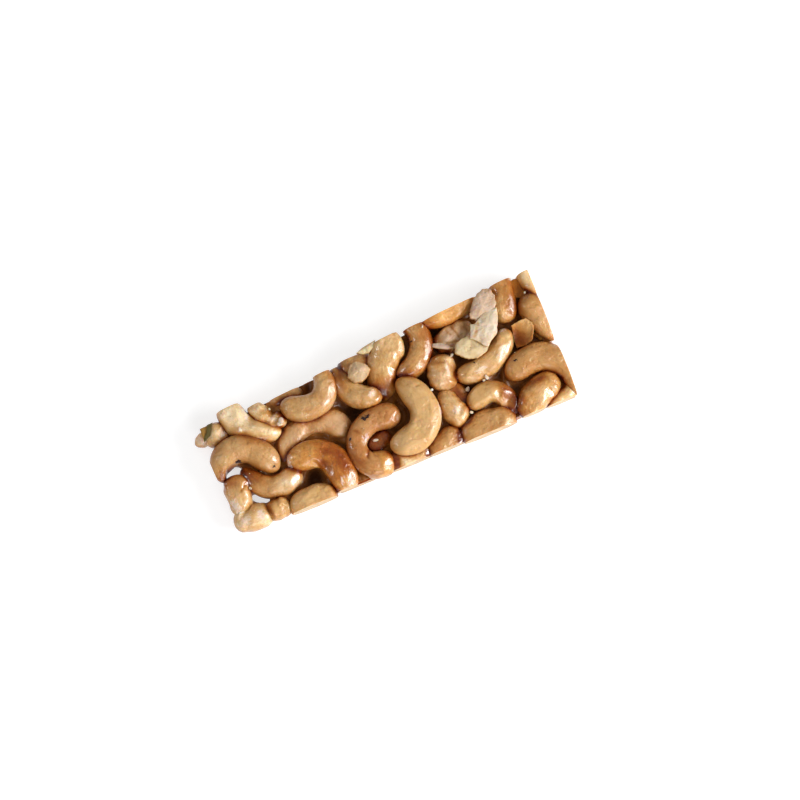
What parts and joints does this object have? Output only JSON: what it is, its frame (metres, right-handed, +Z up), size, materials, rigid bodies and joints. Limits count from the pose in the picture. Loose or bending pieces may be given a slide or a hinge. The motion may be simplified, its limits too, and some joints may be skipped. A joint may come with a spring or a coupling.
{
  "type": "cashew bar",
  "caption": "Bar of whole and broken cashew nuts set in hard clear brown caramel, with sides cut straight and an uneven nutty top.",
  "frame": {"origin": "middle of the bar's box seen from above, on its flat underside", "axes": "+X along the bar towards its slightly wider end, +Y across it, +Z up towards the uneven nutty top"},
  "size_m": [0.1316, 0.0478, 0.0149],
  "materials": {
    "coated_nut": "roasted cashew in a thin glossy coat of brown caramel"
  },
  "bodies": {
    "root": {"cashew_bar": "coated_nut"}
  },
  "joints": []
}
